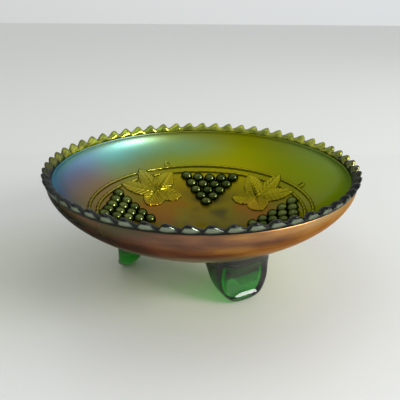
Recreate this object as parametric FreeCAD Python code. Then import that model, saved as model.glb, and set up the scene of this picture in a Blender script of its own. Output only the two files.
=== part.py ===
"""Three-footed pressed-glass bowl with a grape-and-leaf relief inside and a saw-tooth rim.

Frame: millimetres, +Z up along the bowl's axis. The origin is the point on the table under the
centre of the bowl, so the three feet stand on z = 0. Azimuths are in degrees, anticlockwise from
+X seen from above. Every sub-part keeps its own solid and touches its neighbours face to face, as
the regions of one pressing do.
"""
import FreeCAD, Part
import os
from math import atan2, cos, degrees, hypot, pi, radians, sin, tan

from FreeCAD import Vector

# Driving dimensions
RIM_R = 109.3            # axis to the outside of the tooth tips
HEIGHT = 82.0            # table to the tooth tips
BOWL_DEPTH = 59.5        # tooth tips down to the underside of the bowl
WALL = 4.2
BASE_WALL = 7.0          # thickness at the axis, easing to WALL up the side
RIM_BAND = 6.0           # height of the toothed band above the plain shell

# Outside curve of the shell: a cubic, flat at the base and near vertical at the rim
BASE_TANGENT = 58.0      # length of the level tangent at the axis
RIM_TANGENT = 19.0       # length of the tangent at the seat of the toothed band
SEAT_R = 107.0           # outside radius where the toothed band starts
BELLY_R = 108.6          # radius that the rim tangent points down to

# Saw-tooth rim: three mould segments with the same number of teeth
MOULD_SEGMENTS = 3
TEETH = 19 * MOULD_SEGMENTS
TOOTH_HEIGHT = 3.5
TOOTH_OUT = 1.7          # how much further out a tip stands than a valley
TOOTH_STEEP = 0.3        # share of the pitch taken by the steep flank
TOOTH_PEAK_AZ = 190.4
CREST_WIDTH = 2.6
CREST_FALL = 0.9         # how far the inner side of a tip lies below the outer side
POINTS_PER_TOOTH = 6

# Interior relief, repeated on four axes
RELIEF_AXES = (84.0, 174.0, 264.0, 354.0)
LEAF_TURN = 45.0         # leaves stand half-way between the bunches
GRAPE_ROWS = 5
GRAPE_R = 5.0
GRAPE_PITCH = 9.9        # along a row
ROW_PITCH = 7.2          # from row to row
TIP_ROW_R = 38.5         # axis to the single grape at the tip of the bunch
LEAF_CENTRE_R = 58.0
LEAF_LIFT = 1.5
VEIN_LIFT = 2.3
VEIN_WIDTH = 2.6
LOBES = ((0.0, 26.0), (60.0, 29.0), (124.0, 21.0), (-124.0, 21.0), (-60.0, 29.0))
NOTCH_DEPTH = 0.52       # notch radius over the mean length of the lobes beside it
LOBE_BULGE = 1.06        # how far a lobe's side bows out of its chord
CABLE_RADII = (75.0, 80.4)
CABLE_R = 1.4            # radius of one cord
TENDRIL_AZ = 27.0        # from a bunch's axis to its tendril
TENDRIL_LOOP_R = 3.0
TENDRIL_CORD_R = 0.8
TENDRIL_SWEEP = 270.0

# Spatula feet: round lobes that lean in under the bowl
FOOT_AZ = {"front_foot": -60.0, "rear_foot": 60.0, "left_foot": 180.0}
FOOT_END_R = 19.6        # radius of the round end, seen from outside
FOOT_TAPER = 4.5         # lean of each side from the upright, in degrees
FOOT_TOP_Z = 43.0        # outer top of the blank, inside the bowl
FOOT_ROOT_Z = 31.0       # inner top of the blank, inside the bowl
FOOT_CONTACT_R = 56.5    # axis to the middle of the toe
FOOT_NOSE_R = 5.8        # radius of the rounded toe
FOOT_SLANT = 50.0        # slope of the inner face from the level
FOOT_FLARE = 4.0         # how far the outer face curves out towards the bowl
FOOT_GRIND = 0.5         # ground off the toe to give a flat land
FOOT_FILLET = 3.8

SEAT_Z = HEIGHT - RIM_BAND
BASE_Z = HEIGHT - BOWL_DEPTH
AXIS = Vector(0, 0, 1)
CENTRE = Vector(0, 0, 0)
PROFILE_SPANS = 24


def polar(radius, azimuth, z=0.0):
    return Vector(radius * cos(radians(azimuth)), radius * sin(radians(azimuth)), z)


def turned(shape, azimuth):
    copy = shape.copy()
    copy.rotate(CENTRE, AXIS, azimuth)
    return copy


def closed_face(edges):
    return Part.Face(Part.Wire(Part.__sortEdges__(edges)))


def outside_curve():
    curve = Part.BezierCurve()
    curve.setPoles([
        Vector(0, 0, BASE_Z),
        Vector(BASE_TANGENT, 0, BASE_Z),
        Vector(BELLY_R, 0, SEAT_Z - RIM_TANGENT),
        Vector(SEAT_R, 0, SEAT_Z),
    ])
    return curve


def inset_points(inset, spans=PROFILE_SPANS):
    """The outside curve moved inwards, further at the thick base, ending level with the seat."""
    curve = outside_curve()
    points = []
    for step in range(spans + 1):
        parameter = step / spans
        along = curve.tangent(parameter)[0]
        inward = Vector(-along.z, 0, along.x).normalize()
        thickening = (BASE_WALL - WALL) * (1.0 - parameter) ** 2
        points.append(curve.value(parameter) + inward * (inset + thickening))
    points[0].x = 0.0
    points[-1].z = SEAT_Z
    return points


def inset_edge(inset):
    if inset == 0.0:
        return outside_curve().toShape()
    curve = Part.BSplineCurve()
    curve.interpolate(inset_points(inset))
    return curve.toShape()


def inside_height(radius):
    """Height of the bowl's inner surface at a distance from the axis."""
    points = inset_points(WALL, 8 * PROFILE_SPANS)
    for low, high in zip(points, points[1:]):
        if low.x <= radius <= high.x:
            share = (radius - low.x) / (high.x - low.x)
            return low.z + share * (high.z - low.z)
    raise ValueError("radius outside the bowl")


def revolved_between(lower_inset, upper_inset):
    """Solid of revolution between two inset curves; upper_inset None fills up to the seat."""
    lower = inset_edge(lower_inset)
    low_axis, low_seat = (lower.valueAt(end) for end in lower.ParameterRange)
    edges = [lower]
    if upper_inset is None:
        top = Vector(0, 0, SEAT_Z)
        edges += [Part.makeLine(low_axis, top), Part.makeLine(top, low_seat)]
    else:
        upper = inset_edge(upper_inset)
        high_axis, high_seat = (upper.valueAt(end) for end in upper.ParameterRange)
        edges += [upper, Part.makeLine(low_axis, high_axis), Part.makeLine(low_seat, high_seat)]
    return closed_face(edges).revolve(CENTRE, AXIS, 360)


def bowl_shell():
    return revolved_between(0.0, WALL)


def tooth_rise(azimuth):
    """Height of the saw-tooth crest, 0 in a valley and 1 at a tip."""
    turn = (azimuth - TOOTH_PEAK_AZ) * TEETH / 360.0 + TOOTH_STEEP
    place = turn % 1.0
    if place < TOOTH_STEEP:
        return 0.5 - 0.5 * cos(pi * place / TOOTH_STEEP)
    return 0.5 + 0.5 * cos(pi * (place - TOOTH_STEEP) / (1.0 - TOOTH_STEEP))


def crest_curve(valley_radius, out, fall):
    """Closed wavy curve round the rim; its tips lie fall below the rim's top."""
    points = []
    for step in range(TEETH * POINTS_PER_TOOTH):
        azimuth = TOOTH_PEAK_AZ + step * 360.0 / (TEETH * POINTS_PER_TOOTH)
        rise = tooth_rise(azimuth)
        z = HEIGHT - TOOTH_HEIGHT + (TOOTH_HEIGHT - fall) * rise
        points.append(polar(valley_radius + out * rise, azimuth, z))
    curve = Part.BSplineCurve()
    curve.interpolate(Points=points, PeriodicFlag=True)
    return curve.toShape()


def level_circle(radius, z):
    circle = Part.makeCircle(radius, Vector(0, 0, z), AXIS)
    circle.rotate(CENTRE, AXIS, TOOTH_PEAK_AZ)
    return circle


def sawtooth_rim():
    """Toothed band: five closed curves joined by ruled faces."""
    inner_seat_r = inset_points(WALL)[-1].x
    valley_r = RIM_R - TOOTH_OUT
    outline = [
        level_circle(inner_seat_r, SEAT_Z),
        level_circle(inner_seat_r + 0.3, HEIGHT - TOOTH_HEIGHT - 0.8),
        crest_curve(valley_r - CREST_WIDTH, 0.5 * TOOTH_OUT, CREST_FALL),
        crest_curve(valley_r, TOOTH_OUT, 0.0),
        level_circle(SEAT_R, SEAT_Z),
    ]
    faces = [Part.makeRuledSurface(a, b) for a, b in zip(outline, outline[1:])]
    seat = Part.Face([Part.Wire(outline[-1]), Part.Wire(outline[0])])
    shell = Part.Shell([face for ruled in faces for face in ruled.Faces] + [seat])
    shell.sewShape()
    solid = Part.Solid(shell)
    solid.fixTolerance(1e-4)
    return solid


def grape_bunch(cavity):
    """Rows of half grapes widening outwards, merged into one bunch."""
    grapes = []
    for row in range(GRAPE_ROWS):
        along = TIP_ROW_R + row * ROW_PITCH
        for place in range(row + 1):
            across = (place - row / 2.0) * GRAPE_PITCH
            z = inside_height(hypot(along, across))
            grapes.append(Part.makeSphere(GRAPE_R, Vector(along, across, z)))
    bunch = grapes[0].multiFuse(grapes[1:])
    return bunch.common(cavity)


def leaf_point(angle, reach):
    return polar(reach, angle) + Vector(LEAF_CENTRE_R, 0, 0)


def prism(edges):
    """Upright prism over an outline, tall enough to pass through the bowl."""
    return closed_face(edges).extrude(AXIS * HEIGHT)


def leaf_prism():
    """Five pointed lobes with bowed sides."""
    edges = []
    for (angle, length), (next_angle, next_length) in zip(LOBES, LOBES[1:] + LOBES[:1]):
        gap = (next_angle - angle) % 360.0
        notch_angle = angle + gap / 2.0
        notch_reach = NOTCH_DEPTH * (length + next_length) / 2.0
        notch = leaf_point(notch_angle, notch_reach)
        for tip_angle, tip_length, side in ((angle, length, 1), (next_angle, next_length, -1)):
            bow_angle = tip_angle + side * 0.27 * gap
            bow = leaf_point(bow_angle, LOBE_BULGE * (tip_length + notch_reach) / 2.0)
            tip = leaf_point(tip_angle, tip_length)
            edges.append(Part.Arc(tip, bow, notch).toShape())
    return prism(edges)


def vein_prism(angle, length):
    half = VEIN_WIDTH / 2.0
    side = Vector(-sin(radians(angle)), cos(radians(angle)), 0)
    root = leaf_point(angle, 0)
    end = leaf_point(angle, 0.86 * length)
    corners = [root - side * half, end - side * half * 0.4, end + side * half * 0.4]
    corners.append(root + side * half)
    return prism(Part.makePolygon(corners + corners[:1]).Edges)


def grape_leaf(blade_layer, vein_layer):
    """Blade following the bowl's inner surface, with raised veins on top of it."""
    outline = leaf_prism()
    prisms = [vein_prism(angle, length) for angle, length in LOBES]
    veins = prisms[0].multiFuse(prisms[1:]).common(outline).common(vein_layer)
    return outline.common(blade_layer).fuse(veins)


def cable_ring(radius, cavity):
    """One cord lying on the inner surface, half sunk in it."""
    cord = Part.makeTorus(radius, CABLE_R, Vector(0, 0, inside_height(radius)))
    return cord.common(cavity)


def tendril(cavity, ring):
    """Thin cord that leaves the outer cord and curls back on itself."""
    centre_r = CABLE_RADII[-1] + TENDRIL_LOOP_R
    low, high = (inside_height(centre_r + side) for side in (-1.0, 1.0))
    curl = Part.makeTorus(TENDRIL_LOOP_R, TENDRIL_CORD_R, CENTRE, AXIS, 0, 360, TENDRIL_SWEEP)
    curl.rotate(CENTRE, AXIS, 180)
    curl.rotate(CENTRE, Vector(0, -1, 0), degrees(atan2(high - low, 2.0)))
    curl.translate(Vector(centre_r, 0, inside_height(centre_r)))
    return turned(curl.common(cavity).cut(ring), TENDRIL_AZ)


def foot_side():
    """Foot seen along the rim: slanting inner face, rounded toe, outer face flaring upwards."""
    nose = Vector(FOOT_CONTACT_R, 0, FOOT_NOSE_R - FOOT_GRIND)
    slant = radians(FOOT_SLANT)
    heel = nose - Vector(sin(slant), 0, cos(slant)) * FOOT_NOSE_R
    root = Vector(heel.x - (FOOT_ROOT_Z - heel.z) / tan(slant), 0, FOOT_ROOT_Z)
    toe = nose - AXIS * FOOT_NOSE_R
    face_low = nose + Vector(FOOT_NOSE_R, 0, 0)
    face_top = Vector(face_low.x + FOOT_FLARE, 0, FOOT_TOP_Z)
    flare = Part.BezierCurve()
    flare.setPoles([face_low, Vector(face_low.x, 0, (face_low.z + FOOT_TOP_Z) / 2.0), face_top])
    edges = [
        Part.makeLine(root, heel),
        Part.Arc(heel, toe, face_low).toShape(),
        flare.toShape(),
        Part.makeLine(face_top, root),
    ]
    return closed_face(edges).extrude(Vector(0, RIM_R, 0)).translated(Vector(0, -RIM_R / 2, 0))


def foot_front():
    """Foot seen from outside: a round end and sides that run up from it, leaning out."""
    taper = radians(FOOT_TAPER)
    end_z = FOOT_END_R - FOOT_GRIND
    low = Vector(0, FOOT_END_R * cos(taper), end_z - FOOT_END_R * sin(taper))
    top = Vector(0, low.y + (FOOT_TOP_Z - low.z) * tan(taper), FOOT_TOP_Z)
    other_low, other_top = (Vector(0, -point.y, point.z) for point in (low, top))
    edges = [
        Part.makeLine(other_top, other_low),
        Part.Arc(other_low, Vector(0, 0, -FOOT_GRIND), low).toShape(),
        Part.makeLine(low, top),
        Part.makeLine(top, other_top),
    ]
    return closed_face(edges).extrude(Vector(RIM_R, 0, 0))


def spatula_foot(body):
    blank = foot_side().common(foot_front())
    boxes = [(edge, edge.BoundBox) for edge in blank.Edges]
    rims = [edge for edge, box in boxes if box.ZMin < FOOT_ROOT_Z - 1.0 and box.ZLength > 0.5]
    rounded = blank.makeFillet(FOOT_FILLET, rims)
    ground = Part.makeBox(4 * RIM_R, 4 * RIM_R, RIM_R, Vector(-2 * RIM_R, -2 * RIM_R, -RIM_R))
    return rounded.cut(ground).cut(body)


def save(name, shape):
    shape.exportStep("parts/" + name + ".step")


def build():
    os.makedirs("parts", exist_ok=True)
    body = revolved_between(0.0, None)
    cavity = revolved_between(WALL, None)
    blade_layer = revolved_between(WALL, WALL + LEAF_LIFT)
    vein_layer = revolved_between(WALL + LEAF_LIFT, WALL + VEIN_LIFT)

    save("bowl_shell", bowl_shell())
    save("sawtooth_rim", sawtooth_rim())

    foot = spatula_foot(body)
    for name, azimuth in FOOT_AZ.items():
        save(name, turned(foot, azimuth))

    bunch = grape_bunch(cavity)
    leaf = grape_leaf(blade_layer, vein_layer)
    bunches = [turned(bunch, azimuth) for azimuth in RELIEF_AXES]
    leaves = [turned(leaf, azimuth + LEAF_TURN) for azimuth in RELIEF_AXES]
    for number, (grapes, blade) in enumerate(zip(bunches, leaves), start=1):
        save("grape_bunch_%d" % number, grapes)
        save("grape_leaf_%d" % number, blade)

    rings = [cable_ring(radius, cavity) for radius in CABLE_RADII]
    for name, ring in zip(("inner_cable_ring", "outer_cable_ring"), rings):
        save(name, ring.cut(bunches + leaves))

    curl = tendril(cavity, rings[-1])
    curls = [turned(curl, azimuth) for azimuth in RELIEF_AXES]
    save("vine_tendrils", Part.makeCompound(curls))


build()
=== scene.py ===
"""Looks of a three-footed carnival glass bowl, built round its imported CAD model.

Every piece is one region of the pressing, as its own closed mesh in metres. The wall and the relief
get a metallic film over green glass, the saw-tooth rim a thinner one; the feet stay bare glass.
"""
from math import atan2, cos, hypot, pi, radians, sin, tan

import bpy
import numpy as np
from mathutils import Matrix, Vector


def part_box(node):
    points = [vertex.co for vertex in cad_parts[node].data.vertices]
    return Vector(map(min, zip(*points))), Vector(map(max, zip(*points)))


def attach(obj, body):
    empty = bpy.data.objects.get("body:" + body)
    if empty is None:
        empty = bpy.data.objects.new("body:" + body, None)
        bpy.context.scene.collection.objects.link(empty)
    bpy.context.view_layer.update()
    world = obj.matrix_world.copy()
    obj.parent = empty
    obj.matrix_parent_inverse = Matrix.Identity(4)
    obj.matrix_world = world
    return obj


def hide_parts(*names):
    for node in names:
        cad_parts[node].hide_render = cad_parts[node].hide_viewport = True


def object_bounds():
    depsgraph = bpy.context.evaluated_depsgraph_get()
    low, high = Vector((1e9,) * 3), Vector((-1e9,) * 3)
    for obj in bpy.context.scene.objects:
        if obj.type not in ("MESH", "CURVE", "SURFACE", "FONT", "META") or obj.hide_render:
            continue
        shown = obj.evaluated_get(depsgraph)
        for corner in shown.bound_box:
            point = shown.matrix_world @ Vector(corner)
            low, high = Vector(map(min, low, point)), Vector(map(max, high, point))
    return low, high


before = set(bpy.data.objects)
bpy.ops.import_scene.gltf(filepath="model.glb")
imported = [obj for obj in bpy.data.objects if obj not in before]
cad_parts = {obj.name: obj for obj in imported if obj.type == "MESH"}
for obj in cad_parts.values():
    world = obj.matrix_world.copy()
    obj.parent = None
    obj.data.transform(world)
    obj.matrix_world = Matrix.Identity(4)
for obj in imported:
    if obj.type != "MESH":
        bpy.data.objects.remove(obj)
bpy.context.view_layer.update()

MM = 0.001

# Heights and radii that the CAD model fixes
RIM_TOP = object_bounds()[1][2]
SHELL_LOW, SHELL_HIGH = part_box("bowl_shell")
BASE_Z = SHELL_LOW[2]
SEAT_Z = SHELL_HIGH[2]
SEAT_R = SHELL_HIGH[0]

# Section of the shell, as in the CAD model
WALL = 4.2 * MM
BASE_WALL = 7.0 * MM             # at the axis, easing to WALL up the side
BASE_TANGENT = 58.0 * MM
RIM_TANGENT = 19.0 * MM
BELLY_R = 108.6 * MM
SHELL_COLUMNS = 360
OUTER_ROWS = 72
INNER_ROWS = 84
MOULD_SEAM_AZ = (-2.0, 118.0, 238.0)
SEAM_LIFT = 0.16 * MM
SEAM_HALF = 0.4                  # degrees
SEAM_FADE_R = 40.0 * MM          # within this radius the seams die away
GAP = 0.02 * MM                  # air between pieces that touch
SINK = 0.2 * MM                  # how far relief pieces reach into the shell

# Saw-tooth rim
TEETH = 57
TOOTH_STEEP = 0.3
TOOTH_PEAK_AZ = 190.4
TOOTH_HEIGHT = 3.5 * MM
TOOTH_OUT = 1.7 * MM
CREST_FALL = 0.9 * MM            # inner side of a tip below its outer side
STEPS_PER_TOOTH = 20
RIM_SECTION_STEPS = 30

# Relief
RELIEF_AXES = (84.0, 174.0, 264.0, 354.0)
LEAF_TURN = 45.0
GRAPE_ROWS = 5
GRAPE_PITCH = 9.9 * MM
ROW_PITCH = 7.2 * MM
TIP_ROW_R = 38.5 * MM
GRAPE_HEIGHT = 4.5 * MM
GRAPE_ALONG = 4.3 * MM
GRAPE_ACROSS = 4.9 * MM
GRAPE_COLUMNS = 28
GRAPE_LEVELS = 9
GRAPE_CAP = 0.985                # share of the quarter circle up to the closing fan
LEAF_CENTRE_R = 58.0 * MM
CABLES = {"inner_cable_ring": 75.0 * MM, "outer_cable_ring": 80.4 * MM}
CABLE_R = 1.3 * MM
CABLE_TWIST = 6.5 * MM
CABLE_SWELL = 0.07
CABLE_STEPS = 900                # round the whole ring
SHORTEST_CORD = 9                # steps; shorter bits between leaves are left out
CORD_COLUMNS = 14
CORD_SINK = 0.25                 # centre of a cord above the surface, as a share of its radius
CORD_END = 1.6                   # length of a rounded end, in radii
TENDRIL_AZ = 27.0
TENDRIL_LOOP_R = 3.0 * MM
TENDRIL_CORD_R = 0.75 * MM
TENDRIL_SWEEP = 300.0            # degrees
TENDRIL_SHRINK = 0.35
TENDRIL_STEPS = 40

# Leaves; these lengths are in mm and these angles in degrees
LOBES = ((0.0, 26.0), (60.0, 29.0), (124.0, 21.0), (236.0, 21.0), (300.0, 29.0))
NOTCH_DEPTH = 0.52               # share of the length of the lobes beside it
NOTCH_CURVE = 1.12
SERRATIONS = 3.6                 # on each side of a notch
SERRATION_DEPTH = 1.1
LEAF_LIFT = 1.3
LEAF_BORDER = 1.1                # width of the rounded edge
RIB_PITCH = 3.6
RIB_SLANT = 1.1
RIB_HEIGHT = 0.42
VEIN_HEIGHT = 0.95
VEIN_HALF = 0.85
FOLD_DEPTH = 0.25                # of the crease between two lobes
FOLD_ANGLE = 30.0                # from a vein
FOLD_HALF = 5.0
LEAF_COLUMNS = 320
LEAF_ROWS = 38
LEAF_UNDER_SHARES = (0.12, 0.3, 0.5, 0.7, 0.88, 1.0)

# Feet
FOOT_AZ = {"front_foot": -60.0, "rear_foot": 60.0, "left_foot": 180.0}


# ---------------------------------------------------------------- surfaces

def shell_curve(t):
    """Point and inward normal of the shell's outside section at t, from the axis to the seat."""
    poles = np.array([
        (0.0, BASE_Z), (BASE_TANGENT, BASE_Z), (BELLY_R, SEAT_Z - RIM_TANGENT), (SEAT_R, SEAT_Z),
    ])
    t = np.asarray(t, float)[:, None]
    s = 1.0 - t
    point = s ** 3 * poles[0] + 3 * s * s * t * poles[1] + 3 * s * t * t * poles[2] + t ** 3 * poles[3]
    slope = s * s * (poles[1] - poles[0]) + 2 * s * t * (poles[2] - poles[1])
    slope = slope + t * t * (poles[3] - poles[2])
    slope /= np.linalg.norm(slope, axis=1)[:, None]
    return point, np.stack([-slope[:, 1], slope[:, 0]], axis=1)


DENSE = np.linspace(0.0, 1.0, 2001)
OUTSIDE, INWARD = shell_curve(DENSE)
INSIDE = OUTSIDE + (WALL + (BASE_WALL - WALL) * (1.0 - DENSE[:, None]) ** 2) * INWARD
INSIDE[0, 0] = 0.0


def outside_z(radius):
    """Height of the shell's outer surface at a radius."""
    return np.interp(radius, OUTSIDE[:, 0], OUTSIDE[:, 1])


def on_inside(x, y, lift):
    """Points standing lift above the inner surface, over plan positions x, y."""
    radius = np.maximum(np.hypot(x, y), 1e-9)
    z = np.interp(radius, INSIDE[:, 0], INSIDE[:, 1])
    lean = np.interp(radius, INSIDE[:, 0], INWARD[:, 0])
    rise = np.interp(radius, INSIDE[:, 0], INWARD[:, 1])
    out = 1.0 + lean * lift / radius
    return np.stack([x * out, y * out, z + rise * lift], axis=-1)


def turn(points, azimuth):
    """Points turned about the bowl's axis by an azimuth in degrees."""
    c, s = cos(radians(azimuth)), sin(radians(azimuth))
    spin = np.array([[c, s, 0.0], [-s, c, 0.0], [0.0, 0.0, 1.0]])
    return points @ spin


# ---------------------------------------------------------------- mesh helpers

def band_faces(first, second, columns):
    """Quads between two rings of points, given the number of the first point of each."""
    faces = []
    for column in range(columns):
        after = (column + 1) % columns
        faces.append((first + column, first + after, second + after, second + column))
    return faces


def grid_faces(rows, columns, start=0):
    """Quads over rings that are stored one after the other."""
    faces = []
    for row in range(rows - 1):
        base = start + row * columns
        faces += band_faces(base, base + columns, columns)
    return faces


def fan_faces(ring_start, columns, centre, flip=False):
    """Triangles from a ring to one centre point."""
    faces = []
    for column in range(columns):
        a, b = ring_start + column, ring_start + (column + 1) % columns
        faces.append((b, a, centre) if flip else (a, b, centre))
    return faces


class Solid:
    """Collects the closed surfaces of one piece."""

    def __init__(self):
        self.points = []
        self.faces = []
        self.kinds = []
        self.count = 0

    def add(self, points, faces, kinds=None):
        """kinds holds the number of each face's material; left out, all faces get the first."""
        points = np.asarray(points).reshape(-1, 3)
        self.points.append(points)
        self.faces += [tuple(corner + self.count for corner in face) for face in faces]
        self.kinds += kinds or [0] * len(faces)
        self.count += len(points)

    def piece(self, node, materials):
        """The finished object, which shows one CAD node and moves with the bowl."""
        name = node + "_glass"
        mesh = bpy.data.meshes.new(name)
        mesh.from_pydata(np.concatenate(self.points).tolist(), [], self.faces)
        for material in materials:
            mesh.materials.append(material)
        mesh.polygons.foreach_set("material_index", self.kinds)
        mesh.polygons.foreach_set("use_smooth", [True] * len(self.faces))
        mesh.update()
        body = bpy.data.objects.new(name, mesh)
        bpy.context.scene.collection.objects.link(body)
        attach(body, "root")
        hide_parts(node)


def loft(rings, cap_high=True):
    """Points and faces of a skin over rings of equal size, closed by a fan at the first ring and,
    with cap_high, at the last one too."""
    rings = np.asarray(rings)
    rows, columns = rings.shape[:2]
    points = np.vstack([rings.reshape(-1, 3), rings[0].mean(axis=0)])
    faces = grid_faces(rows, columns) + fan_faces(0, columns, rows * columns, flip=True)
    if cap_high:
        faces += fan_faces((rows - 1) * columns, columns, len(points))
        points = np.vstack([points, rings[-1].mean(axis=0)])
    return points, faces


# ---------------------------------------------------------------- shell

def shell_azimuths():
    """Even columns, with extra ones across the three mould seams."""
    angles = set(np.round(np.arange(SHELL_COLUMNS) * 360.0 / SHELL_COLUMNS, 4))
    for seam in MOULD_SEAM_AZ:
        angles |= {round((seam + side * SEAM_HALF) % 360.0, 4) for side in (-1, -0.5, 0.5, 1)}
    return np.array(sorted(angles))


def build_shell(inside, outside, seam):
    """Wall and floor as one skin: up the outside from the axis, over the seat, down the inside."""
    azimuths = shell_azimuths()
    ca, sa = np.cos(np.radians(azimuths)), np.sin(np.radians(azimuths))
    ridge = np.zeros(len(azimuths))
    for place in MOULD_SEAM_AZ:
        off = np.abs((azimuths - place + 180.0) % 360.0 - 180.0)
        ridge += np.clip(1.0 - off / SEAM_HALF, 0.0, 1.0)
    t_out = np.linspace(0.0, 1.0, OUTER_ROWS + 1)[1:]
    point, normal = shell_curve(t_out)
    lift = SEAM_LIFT * np.clip(point[:, 0] / SEAM_FADE_R, 0.0, 1.0)
    lift[-1] = 0.0
    outer = []
    for (r, z), (nr, nz), rise in zip(point, normal, lift):
        radius = r - nr * rise * ridge
        outer.append(np.stack([radius * ca, radius * sa, z - nz * rise * ridge], axis=1))
    t_in = np.linspace(1.0, 0.0, INNER_ROWS + 1)[:-1]
    r_in = np.interp(t_in, DENSE, INSIDE[:, 0])
    z_in = np.interp(t_in, DENSE, INSIDE[:, 1])
    z_in[0] = SEAT_Z
    inner = [np.stack([r * ca, r * sa, np.full(len(ca), z)], axis=1) for r, z in zip(r_in, z_in)]
    points, faces = loft(outer + inner)
    points[-2] = (0.0, 0.0, BASE_Z)
    points[-1] = (0.0, 0.0, INSIDE[0, 1])
    on_inner, on_outer, on_seat = 0, 1, 2
    row_kinds = [on_outer] * (OUTER_ROWS - 1) + [on_seat] + [on_inner] * (INNER_ROWS - 1)
    fan_kinds = [on_outer, on_inner]
    shell = Solid()
    shell.add(points, faces, np.repeat(row_kinds + fan_kinds, len(azimuths)).tolist())
    shell.piece("bowl_shell", (inside, outside, seam))


# ---------------------------------------------------------------- rim

def tooth_rise(azimuth):
    """0 in the valleys to 1 at the tips, rising over TOOTH_STEEP of a tooth and falling over the rest."""
    place = ((azimuth - TOOTH_PEAK_AZ) * TEETH / 360.0 + TOOTH_STEEP) % 1.0
    up = 0.5 - 0.5 * np.cos(pi * place / TOOTH_STEEP)
    down = 0.5 + 0.5 * np.cos(pi * (place - TOOTH_STEEP) / (1.0 - TOOTH_STEEP))
    return np.where(place < TOOTH_STEEP, up, down)


def smooth_curve(controls, samples):
    """Uniform cubic B-spline through the end controls, sampled evenly."""
    controls = np.array([2 * controls[0] - controls[1], *controls, 2 * controls[-1] - controls[-2]])
    spans = len(controls) - 3
    u = np.linspace(0.0, spans, samples)
    k = np.minimum(u.astype(int), spans - 1)
    f = (u - k).reshape((-1,) + (1,) * (controls.ndim - 1))
    weights = ((1 - f) ** 3, 3 * f ** 3 - 6 * f * f + 4, -3 * f ** 3 + 3 * f * f + 3 * f + 1, f ** 3)
    return sum(w * controls[k + i] for i, w in enumerate(weights)) / 6.0


def build_rim(glass, seam):
    """Toothed band: a rounded section that grows up and out towards each tip."""
    count = TEETH * STEPS_PER_TOOTH
    azimuths = np.arange(count) * 360.0 / count
    rise = tooth_rise(azimuths)
    top = RIM_TOP - TOOTH_HEIGHT * (1.0 - rise)
    inner_top = top - CREST_FALL * rise
    seat_in = INSIDE[-1, 0]
    face_r = SEAT_R + 0.5 * MM + TOOTH_OUT * rise
    seat = np.full(count, SEAT_Z + GAP)
    controls = (
        (SEAT_R, seat),
        (SEAT_R + 0.7 * (face_r - SEAT_R), 0.6 * seat + 0.4 * top),
        (face_r + 0.1 * MM, 0.3 * seat + 0.7 * top),
        (face_r + 0.1 * MM, top - 0.3 * MM),
        (face_r - 1.2 * MM, top + 0.5 * MM),
        (seat_in + 2.1 * MM + 0.5 * TOOTH_OUT * rise, inner_top + 0.4 * MM),
        (seat_in + 0.7 * MM + 0.3 * TOOTH_OUT * rise, inner_top - 0.7 * MM),
        (seat_in + 0.1 * MM, 0.6 * seat + 0.4 * inner_top),
        (seat_in, seat),
    )
    controls = [[np.broadcast_to(value, count) for value in pair] for pair in controls]
    section = smooth_curve(np.array(controls).transpose(0, 2, 1), RIM_SECTION_STEPS)
    r, z = section[..., 0], section[..., 1]
    a = np.radians(azimuths)
    rings = np.stack([r * np.cos(a), r * np.sin(a), z], axis=-1)
    skin_faces = grid_faces(len(rings), count)
    seat_faces = band_faces((len(rings) - 1) * count, 0, count)
    rim = Solid()
    rim.add(rings, skin_faces + seat_faces, [0] * len(skin_faces) + [1] * len(seat_faces))
    rim.piece("sawtooth_rim", (glass, seam))


# ---------------------------------------------------------------- feet

FOOT_END_R = 19.6 * MM           # round end, seen from outside
FOOT_TAPER = radians(4.5)        # lean of the sides
FOOT_TOP_Z = 43.0 * MM
FOOT_CONTACT_R = 56.5 * MM
FOOT_NOSE_R = 5.8 * MM
FOOT_SLANT = radians(50.0)       # slope of the inner face
FOOT_FLARE = 4.0 * MM
FOOT_GRIND = 0.5 * MM
FOOT_DISH = 3.2 * MM             # hollow in the outer face
DISH_LIP = 0.2                   # shares of the foot's climb: where the hollow is full,
DISH_TOP = 0.75                  # where it ends, and over how much it fades before that
DISH_FADE = 0.35
FOOT_SQUARE = 0.52               # 1 gives an oval section, smaller ones a squarer one
FOOT_BLEND = 1.6 * MM            # how far the foot spreads where it joins the bowl
FOOT_COLUMNS = 144
FOOT_ROWS = 60
SETTLE_ROUNDS = 40               # rounds that find where the foot's skin meets the bowl
SETTLE_POWER = 8                 # keeps the last fitting to the bowl near the top
FOOT_CAP_SHARES = (0.8, 0.6, 0.4, 0.2)


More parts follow.
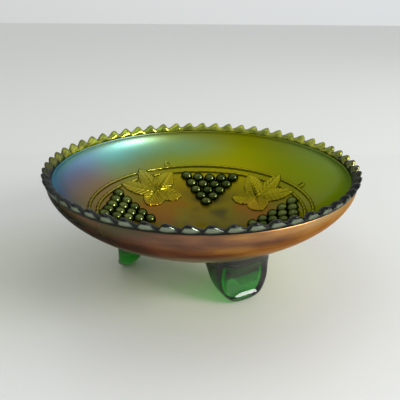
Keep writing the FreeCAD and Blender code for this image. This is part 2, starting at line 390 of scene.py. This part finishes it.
def foot_section(z, theta):
    """Radius from the bowl's axis and sideways offset of the foot's skin at height z."""
    nose_z = FOOT_NOSE_R - FOOT_GRIND
    curl = np.sqrt(np.maximum(FOOT_NOSE_R ** 2 - (z - nose_z) ** 2, 0.0))
    heel_z = nose_z - FOOT_NOSE_R * cos(FOOT_SLANT)
    slope = FOOT_NOSE_R * sin(FOOT_SLANT) + (z - heel_z) / tan(FOOT_SLANT)
    inner = FOOT_CONTACT_R - np.where(z < heel_z, curl, slope)
    climb = np.maximum(z - nose_z, 0.0) / (FOOT_TOP_Z - nose_z)
    outer = FOOT_CONTACT_R + np.where(z < nose_z, curl, FOOT_NOSE_R) + FOOT_FLARE * climb ** 2
    end_z = FOOT_END_R - FOOT_GRIND
    side_z = end_z - FOOT_END_R * sin(FOOT_TAPER)
    round_end = np.sqrt(np.maximum(FOOT_END_R ** 2 - (z - end_z) ** 2, 0.0))
    straight = FOOT_END_R * cos(FOOT_TAPER) + (z - side_z) * tan(FOOT_TAPER)
    half = np.where(z < side_z, round_end, straight)
    c, s = np.cos(theta), np.sin(theta)
    along = np.sign(c) * np.abs(c) ** FOOT_SQUARE
    across = np.sign(s) * np.abs(s) ** FOOT_SQUARE
    radius = (inner + outer) / 2 + (outer - inner) / 2 * along
    lip = 1.0 - (1.0 - np.clip(climb / DISH_LIP, 0, 1)) ** 2
    fade = np.clip((DISH_TOP - climb) / DISH_FADE, 0, 1)
    hollow = np.clip(along, 0, 1) ** 4 * (1.0 - across ** 4) * lip * fade
    return radius - FOOT_DISH * hollow, half * across


def build_foot(name, azimuth, glass, seam):
    """A foot from the ground up, closed at the top by a face that lies against the bowl."""
    theta = np.arange(FOOT_COLUMNS) * 2 * pi / FOOT_COLUMNS
    top = np.full(FOOT_COLUMNS, BASE_Z)
    for _ in range(SETTLE_ROUNDS):
        radius, side = foot_section(top, theta)
        top = outside_z(np.hypot(radius, side)) - GAP
    rings = []
    for row in range(FOOT_ROWS + 1):
        share = 1.0 - cos(0.5 * pi * row / FOOT_ROWS)
        z = top * share
        radius, side = foot_section(z, theta)
        flare = FOOT_BLEND * np.exp((z - top) / FOOT_BLEND)
        radius = radius + flare * np.cos(theta)
        side = side + flare * np.sin(theta)
        settle = outside_z(np.hypot(radius, side)) - GAP - top
        rings.append(np.stack([radius, side, z + settle * share ** SETTLE_POWER], axis=1))
    skin, skin_faces = loft(rings, cap_high=False)
    middle = rings[-1].mean(axis=0)
    cap = [middle + (rings[-1] - middle) * share for share in FOOT_CAP_SHARES]
    cap = np.vstack(cap + [middle])
    cap[:, 2] = outside_z(np.hypot(cap[:, 0], cap[:, 1])) - GAP
    start = len(skin)
    points = np.vstack([skin, cap])
    cap_faces = band_faces(FOOT_ROWS * FOOT_COLUMNS, start, FOOT_COLUMNS)
    cap_faces += grid_faces(len(FOOT_CAP_SHARES), FOOT_COLUMNS, start)
    last_ring = start + (len(FOOT_CAP_SHARES) - 1) * FOOT_COLUMNS
    cap_faces += fan_faces(last_ring, FOOT_COLUMNS, len(points) - 1)
    foot = Solid()
    foot.add(turn(points, azimuth), skin_faces + cap_faces, [0] * len(skin_faces) + [1] * len(cap_faces))
    foot.piece(name, (glass, seam))


# ---------------------------------------------------------------- grapes

def grape(x, y):
    """Half an ellipsoid standing on the inner surface at x, y, sunk a little into it."""
    around = np.arange(GRAPE_COLUMNS) * 2 * pi / GRAPE_COLUMNS
    along, across = GRAPE_ALONG * np.cos(around), GRAPE_ACROSS * np.sin(around)
    rings = [on_inside(x + along, y + across, np.full(GRAPE_COLUMNS, -SINK))]
    for level in range(GRAPE_LEVELS + 1):
        tilt = 0.5 * pi * GRAPE_CAP * level / GRAPE_LEVELS
        height = np.full(GRAPE_COLUMNS, GRAPE_HEIGHT * sin(tilt))
        rings.append(on_inside(x + along * cos(tilt), y + across * cos(tilt), height))
    return loft(rings)


def build_bunch(number, azimuth, look):
    """Fifteen touching half grapes in rows of one to five, the tip towards the axis."""
    bunch = Solid()
    for row in range(GRAPE_ROWS):
        for place in range(row + 1):
            points, faces = grape(TIP_ROW_R + row * ROW_PITCH, (place - row / 2.0) * GRAPE_PITCH)
            bunch.add(turn(points, azimuth), faces)
    bunch.piece("grape_bunch_%d" % number, (look,))


# ---------------------------------------------------------------- leaves

def leaf_reach(angle):
    """Leaf outline: distance from its centre in mm at an angle in degrees, with small serrations."""
    angle = np.asarray(angle, float) % 360.0
    reach = np.zeros_like(angle)
    for (start, length), (end, next_length) in zip(LOBES, LOBES[1:] + LOBES[:1]):
        gap = (end - start) % 360.0
        place = (angle - start) % 360.0 / gap
        inside = (angle - start) % 360.0 < gap
        notch = NOTCH_DEPTH * (length + next_length) / 2.0
        tip = np.where(place < 0.5, length, next_length)
        near = np.clip(1.0 - np.abs(2.0 * place - 1.0), 0.0, 1.0)
        body = notch + (tip - notch) * (1.0 - near ** NOTCH_CURVE)
        teeth = np.abs(((near * SERRATIONS) % 1.0) - 0.35)
        body = body + SERRATION_DEPTH * (0.5 - teeth) * np.sin(pi * near) ** 0.5
        reach = np.where(inside, body, reach)
    return reach


def leaf_lift(x, y, edge):
    """Height in mm of the leaf's face at plan offsets in mm; edge is the distance to its outline."""
    reach = np.hypot(x, y)
    angle = np.degrees(np.arctan2(y, x))
    lift = np.full_like(x, LEAF_LIFT)
    nearest = np.full_like(x, 360.0)
    ribs = np.zeros_like(x)
    for lobe, length in LOBES:
        a = radians(lobe)
        along = x * cos(a) + y * sin(a)
        across = -x * sin(a) + y * cos(a)
        turned = np.abs((angle - lobe + 180.0) % 360.0 - 180.0)
        herring = np.abs(np.sin(pi * (along - RIB_SLANT * np.abs(across)) / RIB_PITCH)) ** 0.7
        fade = np.clip(np.abs(across) / 1.5, 0, 1) * np.clip(reach / 5.0, 0, 1)
        ribs = np.where(turned < nearest, RIB_HEIGHT * (1.0 - 2.0 * herring) * fade, ribs)
        nearest = np.minimum(nearest, turned)
        vein = np.exp(-(across / VEIN_HALF) ** 2) * np.clip(1.15 - along / length, 0, 1)
        lift = lift + VEIN_HEIGHT * vein * (along > 0)
    lift = lift + ribs - FOLD_DEPTH * np.exp(-((nearest - FOLD_ANGLE) / FOLD_HALF) ** 2)
    border = np.clip(edge / LEAF_BORDER, 0, 1)
    return lift * np.sqrt(1.0 - (1.0 - border) ** 2)


def build_leaf(number, azimuth, look):
    """Five-lobed leaf: a flat underside in the shell, then rings from the outline in to the centre."""
    angles = np.arange(LEAF_COLUMNS) * 360.0 / LEAF_COLUMNS
    outline = leaf_reach(angles)
    a = np.radians(angles)
    rings = []
    for share in LEAF_UNDER_SHARES:
        x, y = outline * share * np.cos(a), outline * share * np.sin(a)
        rings.append(on_inside(LEAF_CENTRE_R + x * MM, y * MM, np.full(LEAF_COLUMNS, -SINK)))
    for row in range(LEAF_ROWS + 1):
        reach = outline * (1.0 - row / (LEAF_ROWS + 0.8))
        x, y = reach * np.cos(a), reach * np.sin(a)
        lift = leaf_lift(x, y, 0.75 * (outline - reach))
        rings.append(on_inside(LEAF_CENTRE_R + x * MM, y * MM, lift * MM))
    points, faces = loft(rings)
    leaf = Solid()
    leaf.add(turn(points, azimuth), faces)
    leaf.piece("grape_leaf_%d" % number, (look,))


# ---------------------------------------------------------------- cords and curls

def under_leaf(radius, azimuth):
    """True where a cord at this place would run under a leaf."""
    for axis in RELIEF_AXES:
        off = radians(azimuth - axis - LEAF_TURN)
        x, y = radius * cos(off) - LEAF_CENTRE_R, radius * sin(off)
        if hypot(x, y) < float(leaf_reach(np.degrees(atan2(y, x)))) * MM - 0.2 * MM:
            return True
    return False


def cord(path_x, path_y, twist, thickness=CABLE_R):
    """Twisted cord along plan positions on the inner surface, rounded off at both ends."""
    lift = np.full(len(path_x), CORD_SINK * thickness)
    centre = on_inside(path_x, path_y, lift)
    above = on_inside(path_x, path_y, lift + MM)
    up = (above - centre) / MM
    along = np.gradient(centre, axis=0)
    along /= np.linalg.norm(along, axis=1)[:, None]
    side = np.cross(up, along)
    length = np.concatenate([[0.0], np.cumsum(np.linalg.norm(np.diff(centre, axis=0), axis=1))])
    theta = np.arange(CORD_COLUMNS) * 2 * pi / CORD_COLUMNS
    rings = []
    for point, u, s, run in zip(centre, up, side, length):
        end = min(run, length[-1] - run) / (CORD_END * thickness)
        taper = np.sqrt(max(0.06, 1.0 - (1.0 - min(end, 1.0)) ** 2))
        swell = 1.0 + twist * np.cos(2 * theta - 2 * pi * run / CABLE_TWIST)
        reach = thickness * taper * swell
        rings.append(point + (reach * np.cos(theta))[:, None] * s + (reach * np.sin(theta))[:, None] * u)
    return rings


def build_cable(name, radius, look):
    """Corded ring, left out where leaves cover it."""
    azimuths = np.arange(CABLE_STEPS) * 360.0 / CABLE_STEPS
    hidden = [under_leaf(radius, azimuth) for azimuth in azimuths]
    first = hidden.index(True)
    cable = Solid()
    run = []
    for step in range(CABLE_STEPS + 1):
        place = (first + step) % CABLE_STEPS
        if not hidden[place]:
            run.append(azimuths[place])
            continue
        if len(run) >= SHORTEST_CORD:
            a = np.radians(run)
            cable.add(*loft(cord(radius * np.cos(a), radius * np.sin(a), CABLE_SWELL)))
        run = []
    cable.piece(name, (look,))


def build_tendrils(look):
    """Thin cords that leave the outer cord and curl back on themselves."""
    turns = np.linspace(0.0, 1.0, TENDRIL_STEPS)
    swing = np.radians(180.0 + TENDRIL_SWEEP * turns)
    size = TENDRIL_LOOP_R * (1.0 - TENDRIL_SHRINK * turns)
    x = CABLES["outer_cable_ring"] + TENDRIL_LOOP_R + size * np.cos(swing)
    y = size * np.sin(swing)
    points, faces = loft(cord(x, y, 0.0, TENDRIL_CORD_R))
    curls = Solid()
    for axis in RELIEF_AXES:
        curls.add(turn(points, axis + TENDRIL_AZ), faces)
    curls.piece("vine_tendrils", (look,))


# ---------------------------------------------------------------- materials

GREEN = (0.03, 0.74, 0.10, 1.0)
GREEN_DENSITY = 250.0            # per metre, for a colour of 0
GLASS_IOR = 1.52
WHITE = (1.0, 1.0, 1.0, 1.0)
FOOT_TINT = (0.70, 1.0, 0.68, 1.0)
RIM_TINT = (0.80, 0.95, 0.50, 1.0)

# Share of the light that the shadow of a piece lets through
FOOT_SHADE = (0.45, 0.75, 0.45, 1.0)
FILM_SHADE = (0.74, 0.82, 0.58, 1.0)


def rgb(red, green, blue):
    """Display colour 0..255 as linear light, with full cover."""
    values = [value / 255.0 for value in (red, green, blue)]
    return (*(((v + 0.055) / 1.055) ** 2.4 if v > 0.04 else v / 12.92 for v in values), 1.0)


class Tree:
    """Short way to write a material's node tree; most calls add a node and return its output."""

    def __init__(self, name):
        self.material = bpy.data.materials.new(name)
        self.material.use_nodes = True
        self.nodes = self.material.node_tree.nodes
        self.links = self.material.node_tree.links
        self.nodes.clear()
        self.out = self.nodes.new("ShaderNodeOutputMaterial")

    def put(self, socket, value):
        if isinstance(value, bpy.types.NodeSocket):
            self.links.new(value, socket)
        else:
            socket.default_value = value

    def node(self, kind, inputs=(), **settings):
        made = self.nodes.new(kind)
        for key, value in settings.items():
            setattr(made, key, value)
        for key, value in dict(inputs).items():
            self.put(made.inputs[key], value)
        return made

    def math(self, operation, a, b=0.0, c=0.0, clamp=False):
        made = self.node("ShaderNodeMath", {0: a, 1: b, 2: c}, operation=operation, use_clamp=clamp)
        return made.outputs[0]

    def ramp(self, factor, stops):
        """Colour from soft stops, given as (place, colour)."""
        made = self.node("ShaderNodeValToRGB", {"Fac": factor})
        made.color_ramp.interpolation = "B_SPLINE"
        points = made.color_ramp.elements
        while len(points) < len(stops):
            points.new(0.5)
        for point, (place, colour) in zip(points, stops):
            point.position = place
            point.color = colour
        return made.outputs["Color"]

    def blend(self, factor, a, b):
        made = self.node("ShaderNodeMix", {"Factor": factor, "A": a, "B": b}, data_type="RGBA")
        return made.outputs["Result"]

    def spread(self, value, low, high):
        """value from low..high to 0..1, with soft ends."""
        inputs = {"Value": value, "From Min": low, "From Max": high}
        made = self.node("ShaderNodeMapRange", inputs, interpolation_type="SMOOTHSTEP")
        return made.outputs["Result"]

    def noise(self, vector, scale, detail=2.0, rough=0.5):
        inputs = {"Vector": vector, "Scale": scale, "Detail": detail, "Roughness": rough}
        return self.node("ShaderNodeTexNoise", inputs).outputs["Fac"]

    def bump(self, height, strength):
        inputs = {"Height": height, "Strength": strength, "Distance": 0.0004}
        return self.node("ShaderNodeBump", inputs).outputs[0]

    def mix(self, share, a, b):
        return self.node("ShaderNodeMixShader", {0: share, 1: a, 2: b}).outputs[0]

    def surface(self, shader, shade=None):
        """Sets the surface; shade is the share of light that its shadow lets through."""
        if shade:
            clear = self.node("ShaderNodeBsdfTransparent", {"Color": shade}).outputs[0]
            shadow = self.node("ShaderNodeLightPath").outputs["Is Shadow Ray"]
            shader = self.mix(shadow, shader, clear)
        self.links.new(shader, self.out.inputs["Surface"])

    def green_volume(self):
        made = self.node("ShaderNodeVolumeAbsorption", {"Color": GREEN, "Density": GREEN_DENSITY})
        self.links.new(made.outputs[0], self.out.inputs["Volume"])


class Spot:
    """Where on the bowl a point is: object position, its axes, and the distance from the bowl's axis."""

    def __init__(self, tree):
        self.position = tree.node("ShaderNodeTexCoord").outputs["Object"]
        self.x, self.y, self.z = tree.node("ShaderNodeSeparateXYZ", {0: self.position}).outputs
        square_x = tree.math("MULTIPLY", self.x, self.x)
        square_y = tree.math("MULTIPLY", self.y, self.y)
        self.radius = tree.math("SQRT", tree.math("ADD", square_x, square_y))


def glass_shader(tree, colour, roughness, normal, gloss=WHITE):
    made = tree.node("ShaderNodeBsdfPrincipled", {
        "Base Color": colour, "Roughness": roughness, "IOR": GLASS_IOR, "Transmission Weight": 1.0,
        "Specular Tint": gloss, "Normal": normal,
    })
    return made.outputs[0]


def metal_shader(tree, film, roughness, more):
    """Metallic film; its specular tint keeps grazing reflections coloured too."""
    made = tree.node("ShaderNodeBsdfPrincipled", {
        "Base Color": film, "Specular Tint": film, "Roughness": roughness, "Metallic": 1.0, **more,
    })
    return made.outputs[0]


def seam_material():
    """Clear face for where two pieces are fused in the real bowl, with glass on both sides."""
    tree = Tree("fused_seam")
    tree.surface(tree.node("ShaderNodeBsdfTransparent").outputs[0])
    tree.green_volume()
    return tree.material


def polished_glass(tree, spot, tint):
    """Fire-polished glass with faint flow waves and a few fine scuffs."""
    waves = tree.noise(spot.position, 260.0, 1.0)
    scuffs = tree.spread(tree.noise(spot.position, 900.0, 4.0), 0.55, 0.75)
    roughness = tree.math("MULTIPLY_ADD", scuffs, 0.03, 0.008)
    return glass_shader(tree, tint, roughness, tree.bump(waves, 0.12))


def foot_glass():
    """Bare green glass."""
    tree = Tree("bare_foot_glass")
    tree.surface(polished_glass(tree, Spot(tree), FOOT_TINT), FOOT_SHADE)
    tree.green_volume()
    return tree.material


def rim_glass():
    """Glass thinly sprayed at the teeth, under full lustre down at the seat, with painted shade and sheen
    on the near teeth.
    """
    tree = Tree("rim_glass")
    spot = Spot(tree)
    glass = polished_glass(tree, spot, RIM_TINT)
    bare = tree.spread(spot.z, SEAT_Z + 0.6 * MM, SEAT_Z + 3.4 * MM)
    share = tree.math("MULTIPLY_ADD", bare, -0.2, 0.9)
    patches = tree.noise(spot.position, 160.0, 2.0)
    olive = tree.ramp(patches, ((0.35, rgb(95, 100, 8)), (0.65, rgb(185, 185, 60))))
    # Painted shade and sheen: teeth on the near side are painted near-black, and the outer faces under
    # their crests pale; the teeth at the back keep the olive film.
    bulge = tree.spread(spot.radius, SEAT_R + 0.5 * MM, SEAT_R + 1.5 * MM)
    under_crest = tree.spread(spot.z, RIM_TOP - 0.8 * MM, RIM_TOP - 2.0 * MM)
    front = tree.spread(spot.y, -45.0 * MM, -85.0 * MM)
    lens_sheen = tree.math("MULTIPLY", tree.math("MULTIPLY", bulge, under_crest), front)
    near_shade_and_sheen = tree.blend(lens_sheen, rgb(8, 18, 10), rgb(150, 162, 138))
    # film: olive at the back, painted shade and sheen on the near side
    film = tree.blend(tree.spread(spot.y, 65.0 * MM, -45.0 * MM), olive, near_shade_and_sheen)
    metal = metal_shader(tree, film, 0.12, {"Coat Weight": 0.3, "Coat Roughness": 0.03})
    tree.surface(tree.mix(share, glass, metal), FILM_SHADE)
    tree.green_volume()
    return tree.material


def lustre(name, colour_of, cover=0.55, roughness=0.3):
    """Green glass under a metallic film; colour_of gives the film's colour, with any painted sheen, from
    the spot.
    """
    tree = Tree(name)
    spot = Spot(tree)
    film = colour_of(tree, spot)
    ripple = tree.noise(spot.position, 120.0, 2.0)
    fine = tree.noise(spot.position, 700.0, 3.0)
    normal = tree.bump(tree.math("MULTIPLY_ADD", fine, 0.1, ripple), 0.2)
    satin = tree.math("MULTIPLY_ADD", fine, 0.12, roughness - 0.06)
    metal = metal_shader(tree, film, satin, {"Normal": normal})
    glass = glass_shader(tree, film, 0.12, normal, film)
    facing = tree.node("ShaderNodeLayerWeight", {"Blend": 0.4}).outputs["Facing"]
    share = tree.math("MULTIPLY_ADD", facing, 0.35, cover, clamp=True)
    tree.surface(tree.mix(share, glass, metal), FILM_SHADE)
    tree.green_volume()
    return tree.material


# Film colours inside, from the floor to the rim, at places from the left side to the right. The bands
# by height are the film's own; the change from the left side to the right is painted sheen, the
# window's reflection in the film, blue and aqua on the left and olive at the back and right.
# Each entry is the cosine of the azimuth and the colours at the heights in WALL_LEVELS.
WALL_LEVELS = (0.0, 0.2, 0.4, 0.6, 0.8, 1.0)
WALL_FILM_AND_SHEEN = (
    (-0.97, (130, 110, 40), (135, 115, 40), (150, 125, 65),
     (145, 125, 115), (105, 125, 165), (145, 200, 230)),
    (-0.75, (140, 125, 35), (140, 125, 30), (150, 140, 40),
     (120, 145, 105), (110, 195, 195), (180, 215, 205)),
    (-0.25, (140, 120, 20), (140, 115, 12), (165, 150, 10),
     (130, 150, 35), (145, 195, 150), (190, 195, 50)),
    (0.4, (135, 120, 8), (135, 120, 3), (175, 160, 0),
     (150, 155, 0), (170, 175, 10), (200, 200, 15)),
    (0.95, (130, 118, 12), (130, 118, 8), (150, 145, 0),
     (145, 165, 3), (150, 172, 55), (180, 208, 115)),
)


def wall_film_and_sheen(tree, spot):
    """Film colour inside with painted sheen: bands by height that change from the left side to the right,
    the change across being painted sheen.
    """
    wobble = tree.math("MULTIPLY_ADD", tree.noise(spot.position, 22.0, 3.0), 0.16, -0.08)
    height = tree.math("DIVIDE", tree.math("SUBTRACT", spot.z, INSIDE[0, 1]), SEAT_Z - INSIDE[0, 1])
    height = tree.math("ADD", height, wobble)
    across = tree.math("DIVIDE", spot.x, tree.math("MAXIMUM", spot.radius, 20.0 * MM))
    bands = []
    for place, *colours in WALL_FILM_AND_SHEEN:
        stops = tuple(zip(WALL_LEVELS, (rgb(*film) for film in colours)))
        bands.append((place, tree.ramp(height, stops)))
    # painted sheen: the colour changes from the left side to the right
    last, colour = bands[0]
    for place, band in bands[1:]:
        colour = tree.blend(tree.spread(across, last, place), colour, band)
        last = place
    floor = tree.spread(height, 0.25, 0.1)
    blotch = tree.noise(spot.position, 26.0, 2.0)
    warm = tree.math("MULTIPLY", tree.spread(blotch, 0.5, 0.35), floor)
    colour = tree.blend(tree.math("MULTIPLY", warm, 0.6), colour, rgb(165, 100, 25))
    dim = tree.math("MULTIPLY", tree.spread(blotch, 0.5, 0.66), floor)
    return tree.blend(tree.math("MULTIPLY", dim, 0.7), colour, rgb(66, 58, 44))


# Film colours outside, from the left side to the right: copper film, painted lighter towards the right as
# painted sheen; the low ones are a painted reflection of the pale table
OUTSIDE_HIGH_FILM_AND_SHEEN = (
    (0.15, rgb(92, 96, 72)), (0.32, rgb(104, 92, 70)), (0.43, rgb(138, 98, 84)),
    (0.55, rgb(158, 114, 88)), (0.68, rgb(210, 152, 90)), (0.85, rgb(214, 176, 126)),
)
OUTSIDE_LOW_TABLE_REFLECTION = ((0.1, rgb(178, 165, 152)), (0.5, rgb(225, 205, 192)), (0.9, rgb(240, 218, 200)))


def outside_film_and_sheen(tree, spot):
    """Film colour outside: copper on the right and painted lighter there as painted sheen, browner on the
    left, pinkish near the base as a painted reflection of the pale table.
    """
    scaled = {0: spot.position, 1: (1.0, 1.0, 4.0)}
    flat = tree.node("ShaderNodeVectorMath", scaled, operation="MULTIPLY").outputs[0]
    drift = tree.math("MULTIPLY_ADD", tree.noise(flat, 28.0, 3.0), 0.8, -0.4)
    side = tree.math("MULTIPLY_ADD", spot.x, 3.2, tree.math("ADD", drift, 0.5))
    rise = tree.math("DIVIDE", tree.math("SUBTRACT", spot.z, BASE_Z), SEAT_Z - BASE_Z)
    # low: painted reflection of the pale table near the base; high: copper film with painted sheen
    # towards the right
    low, high = tree.ramp(side, OUTSIDE_LOW_TABLE_REFLECTION), tree.ramp(side, OUTSIDE_HIGH_FILM_AND_SHEEN)
    return tree.blend(tree.spread(rise, 0.40, 0.72), low, high)


def relief_film_and_sheen(tree, spot):
    """Film colour on raised work: the wall's film with its painted sheen, a little yellower."""
    return tree.blend(0.35, wall_film_and_sheen(tree, spot), rgb(185, 170, 45))


def grape_colour(tree, spot):
    """Dark green to olive, changing over a grape or two."""
    drift = tree.noise(spot.position, 60.0, 2.0)
    return tree.ramp(drift, ((0.3, rgb(36, 50, 20)), (0.7, rgb(104, 112, 62))))


# ---------------------------------------------------------------- room

TABLE_SIZE = 6.0
TABLE_DARK = (0.62, 0.62, 0.59, 1.0)
TABLE_LIGHT = (0.70, 0.70, 0.68, 1.0)
# painted light: the table is lighter near the viewer
TABLE_NEAR_LIT = (0.75, 0.75, 0.73, 1.0)
TABLE_FAR = (0.68, 0.68, 0.65, 1.0)
# painted shadow to the left of the bowl, tinted green
CAST_SHADOW_TINT = (0.55, 0.57, 0.44, 1.0)      # light that has passed through the left of the bowl
CAST_SHADOW_PLACE = (-0.14, -0.01, 0.0)
# painted pool of light under the bowl, tinted green
UNDER_LIGHT_TINT = (0.80, 0.84, 0.68, 1.0)     # light that has passed through its floor

SKY_AXIS = (0.30, 0.50, 0.81)            # towards the brightest part of the room
SKY_DIM = (0.62, 0.64, 0.60, 1.0)
SKY_BRIGHT = (0.95, 0.98, 1.0, 1.0)
SKY_BRIGHT_FROM = 0.8                    # cosine of the angle to SKY_AXIS
SKY_STRENGTH = 0.85

# Window panels: place, width and height in metres, and power in watts
LIGHT_AIM = (0.0, 0.0, 0.06)
LIGHTS = {
    "window_right": ((0.85, 0.40, 0.80), (1.0, 1.0), 1.5),
    "overhead": ((-0.1, 0.1, 1.1), (0.9, 0.6), 0.8),
    "side_window": ((1.28, -0.59, 0.77), (0.62, 0.58), 15.5),
}

CAMERA_BACK = 0.3397
CAMERA_ABOVE_RIM = 0.1103
CAMERA_DOWN = 22.53              # degrees below level
CAMERA_PAN = 0.15                # degrees
CAMERA_ROLL = 0.4                # degrees
CAMERA_LENS = 45.3               # mm, on a 36 mm sensor


def table_material():
    """Pale grey table with painted light: lighter near the viewer, a painted shadow to the left of the
    bowl and a painted pool of light under it, both tinted as by the light through the glass.
    """
    tree = Tree("pale_table")
    spot = Spot(tree)
    grain = tree.math("MULTIPLY_ADD", tree.noise(spot.position, 8.0, 3.0), 0.3, 0.35)
    tone = tree.blend(grain, TABLE_DARK, TABLE_LIGHT)
    # painted light: lighter near the viewer
    tone = tree.blend(tree.spread(spot.y, -0.02, -0.20), tone, TABLE_NEAR_LIT)
    # painted shadow to the left of the bowl
    ends = {0: spot.position, 1: CAST_SHADOW_PLACE}
    reach = tree.node("ShaderNodeVectorMath", ends, operation="DISTANCE").outputs["Value"]
    painted_shadow = tree.math("MULTIPLY", tree.spread(reach, 0.13, 0.02), 0.5)
    tone = tree.blend(painted_shadow, tone, CAST_SHADOW_TINT)
    # painted pool of light under the bowl
    tone = tree.blend(tree.spread(spot.radius, 0.12, 0.04), tone, UNDER_LIGHT_TINT)
    tone = tree.blend(tree.spread(spot.y, 0.26, 0.30), tone, TABLE_FAR)
    made = tree.node("ShaderNodeBsdfPrincipled", {
        "Base Color": tone, "Roughness": 0.38, "Specular IOR Level": 0.35,
    })
    tree.surface(made.outputs[0])
    return tree.material


def room_light():
    """Bright above, behind and to the right of the bowl; dim towards the viewer and the left."""
    world = bpy.data.worlds.new("pale_room")
    world.use_nodes = True
    nodes, links = world.node_tree.nodes, world.node_tree.links
    direction = nodes.new("ShaderNodeTexCoord").outputs["Generated"]
    along = nodes.new("ShaderNodeVectorMath")
    along.operation = "DOT_PRODUCT"
    along.inputs[1].default_value = SKY_AXIS
    links.new(direction, along.inputs[0])
    ramp = nodes.new("ShaderNodeValToRGB")
    dim, bright = ramp.color_ramp.elements
    dim.position, dim.color = 0.0, SKY_DIM
    bright.position, bright.color = SKY_BRIGHT_FROM, SKY_BRIGHT
    links.new(along.outputs["Value"], ramp.inputs["Fac"])
    links.new(ramp.outputs["Color"], nodes["Background"].inputs["Color"])
    nodes["Background"].inputs["Strength"].default_value = SKY_STRENGTH
    bpy.context.scene.world = world


def build_room():
    bpy.ops.mesh.primitive_plane_add(size=TABLE_SIZE)
    table = bpy.context.object
    table.name = "table_top"
    table.data.materials.append(table_material())
    room_light()


def build_lights():
    for name, (place, (width, height), power) in LIGHTS.items():
        data = bpy.data.lights.new(name, "AREA")
        data.shape = "RECTANGLE"
        data.size, data.size_y = width, height
        data.energy = power
        lamp = bpy.data.objects.new(name, data)
        bpy.context.scene.collection.objects.link(lamp)
        lamp.location = place
        lamp.rotation_mode = "QUATERNION"
        lamp.rotation_quaternion = (Vector(LIGHT_AIM) - Vector(place)).to_track_quat("-Z", "Y")


def build_camera():
    data = bpy.data.cameras.new("camera")
    data.lens = CAMERA_LENS
    data.sensor_width = 36.0
    camera = bpy.data.objects.new("camera", data)
    bpy.context.scene.collection.objects.link(camera)
    camera.location = (0.0, -CAMERA_BACK, RIM_TOP + CAMERA_ABOVE_RIM)
    camera.rotation_mode = "XYZ"
    aim = Matrix.Rotation(radians(CAMERA_PAN), 3, "Z")
    aim = aim @ Matrix.Rotation(radians(90.0 - CAMERA_DOWN), 3, "X")
    aim = aim @ Matrix.Rotation(radians(CAMERA_ROLL), 3, "Z")
    camera.rotation_euler = aim.to_euler()
    bpy.context.scene.camera = camera


# ---------------------------------------------------------------- the bowl and its room

seam = seam_material()
rim_look = rim_glass()
foot_look = foot_glass()
wall_look = lustre("wall_lustre", wall_film_and_sheen, roughness=0.4)
outside_look = lustre("outside_lustre", outside_film_and_sheen, cover=0.65)
relief_look = lustre("relief_lustre", relief_film_and_sheen, cover=0.6, roughness=0.22)
grape_look = lustre("grape_lustre", grape_colour, cover=0.8, roughness=0.07)

build_shell(wall_look, outside_look, seam)
build_rim(rim_look, seam)
for foot_name, foot_azimuth in FOOT_AZ.items():
    build_foot(foot_name, foot_azimuth, foot_look, seam)
for index, axis_azimuth in enumerate(RELIEF_AXES, start=1):
    build_bunch(index, axis_azimuth, grape_look)
    build_leaf(index, axis_azimuth + LEAF_TURN, relief_look)
for cable_name, cable_radius in CABLES.items():
    build_cable(cable_name, cable_radius, relief_look)
build_tendrils(relief_look)
build_room()
build_lights()
build_camera()
bpy.context.scene.view_settings.view_transform = "Standard"
